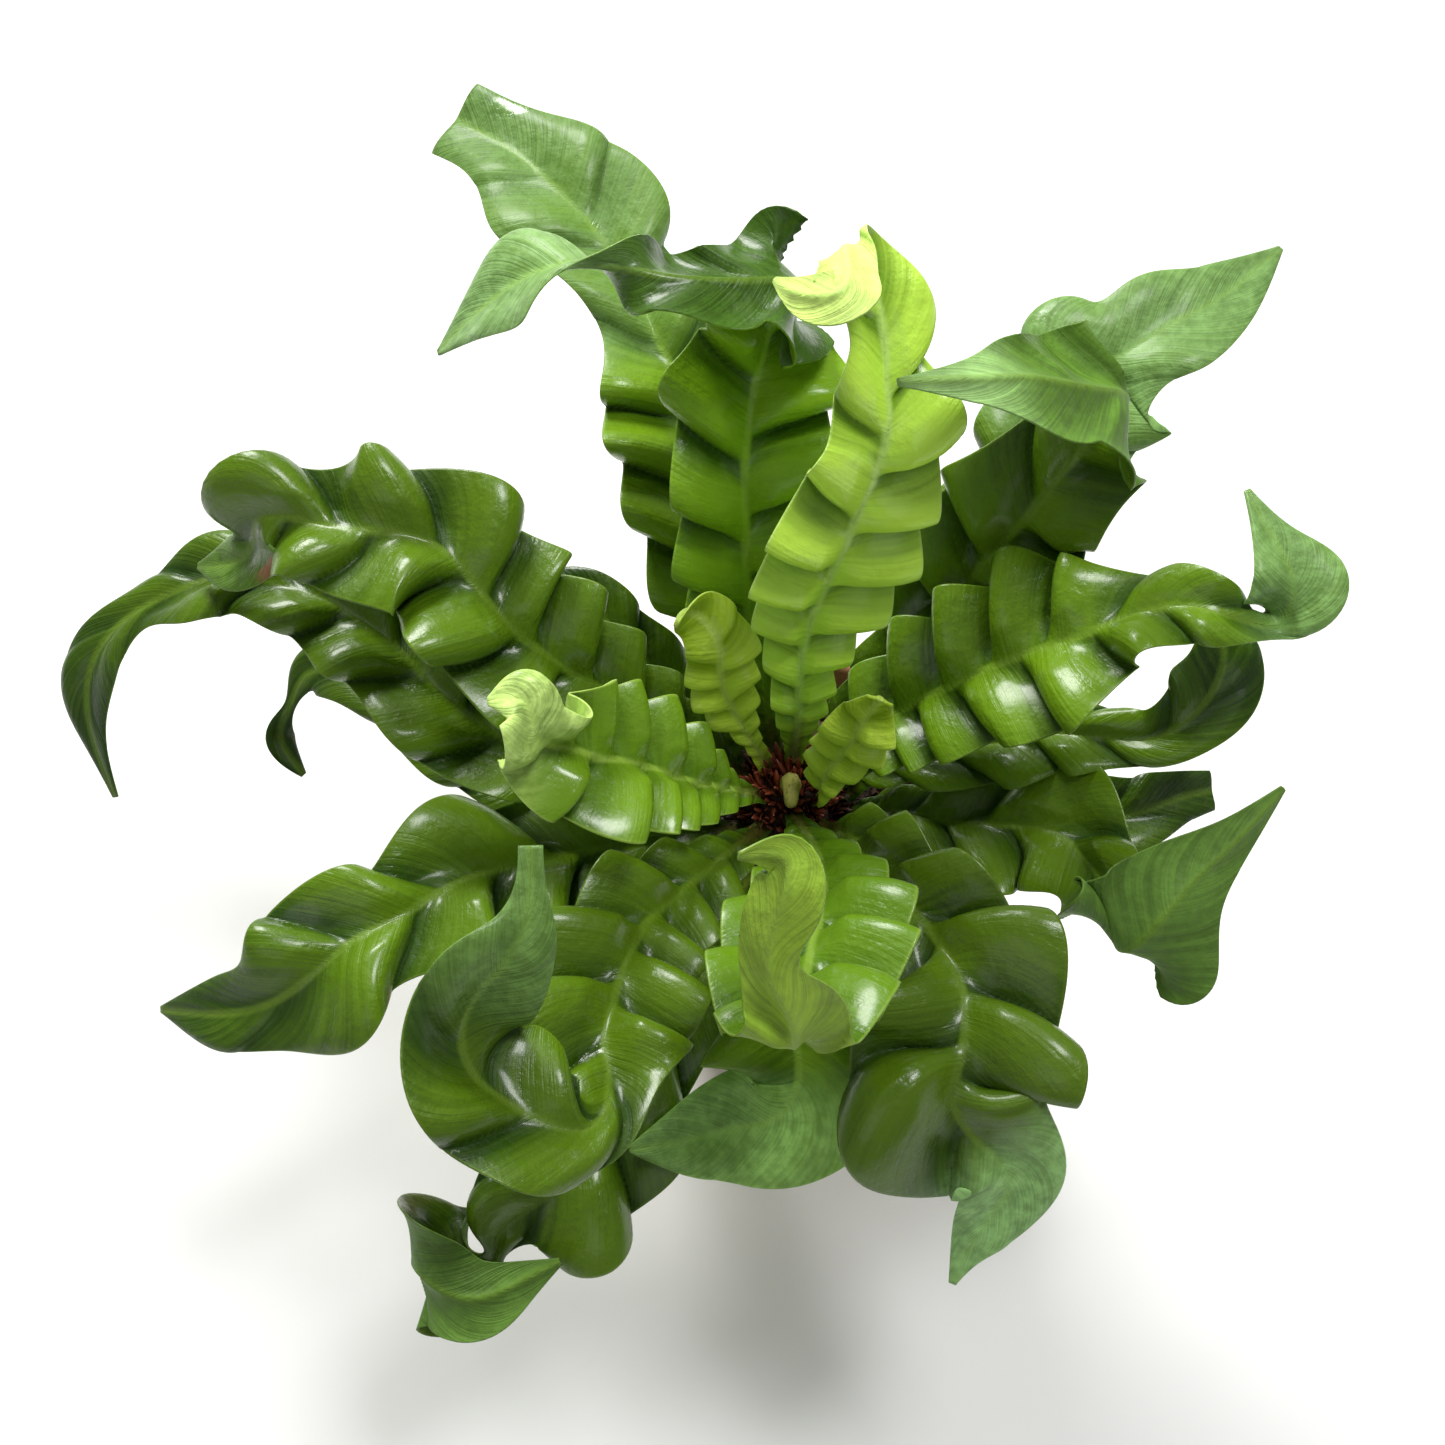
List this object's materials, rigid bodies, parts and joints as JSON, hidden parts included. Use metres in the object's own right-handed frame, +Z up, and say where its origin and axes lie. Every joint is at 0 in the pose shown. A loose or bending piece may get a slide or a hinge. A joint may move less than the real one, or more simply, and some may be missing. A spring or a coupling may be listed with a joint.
{
  "type": "potted fern",
  "caption": "Bird's nest fern with wavy, pleated, strap-shaped fronds in a rosette round a scaly brown crown, growing in a plain round terracotta pot.",
  "frame": {"origin": "centre of the flat underside of the pot", "axes": "+Z up along the pot's axis; the front of the plant faces -Y"},
  "size_m": [0.3681, 0.364, 0.3171],
  "materials": {
    "terracotta": "matt, unglazed",
    "potting_mix": "loose, damp",
    "crown_scales": "matt, scaly",
    "crozier": "satin",
    "frond_mature": "glossy upper side",
    "frond_young": "glossy upper side"
  },
  "bodies": {
    "root": {"pot": "terracotta", "potting_mix": "potting_mix", "crown": "crown_scales", "crozier": "crozier", "front_young": "frond_young", "back_young": "frond_young", "right_young": "frond_young", "small_young": "frond_young", "left_young": "frond_young", "right_high": "frond_mature", "back_right_fold": "frond_mature", "back_scroll": "frond_mature", "left_high": "frond_mature", "front_left_curl": "frond_mature", "front_right": "frond_mature", "right_under": "frond_mature", "front_right_fold": "frond_mature", "back_right_far": "frond_mature", "back_far_left": "frond_mature", "left_low": "frond_mature", "front_left": "frond_mature", "front_under": "frond_mature", "back_low": "frond_mature", "front_low": "frond_mature", "right_low": "frond_mature", "left_under": "frond_mature"}
  },
  "joints": []
}
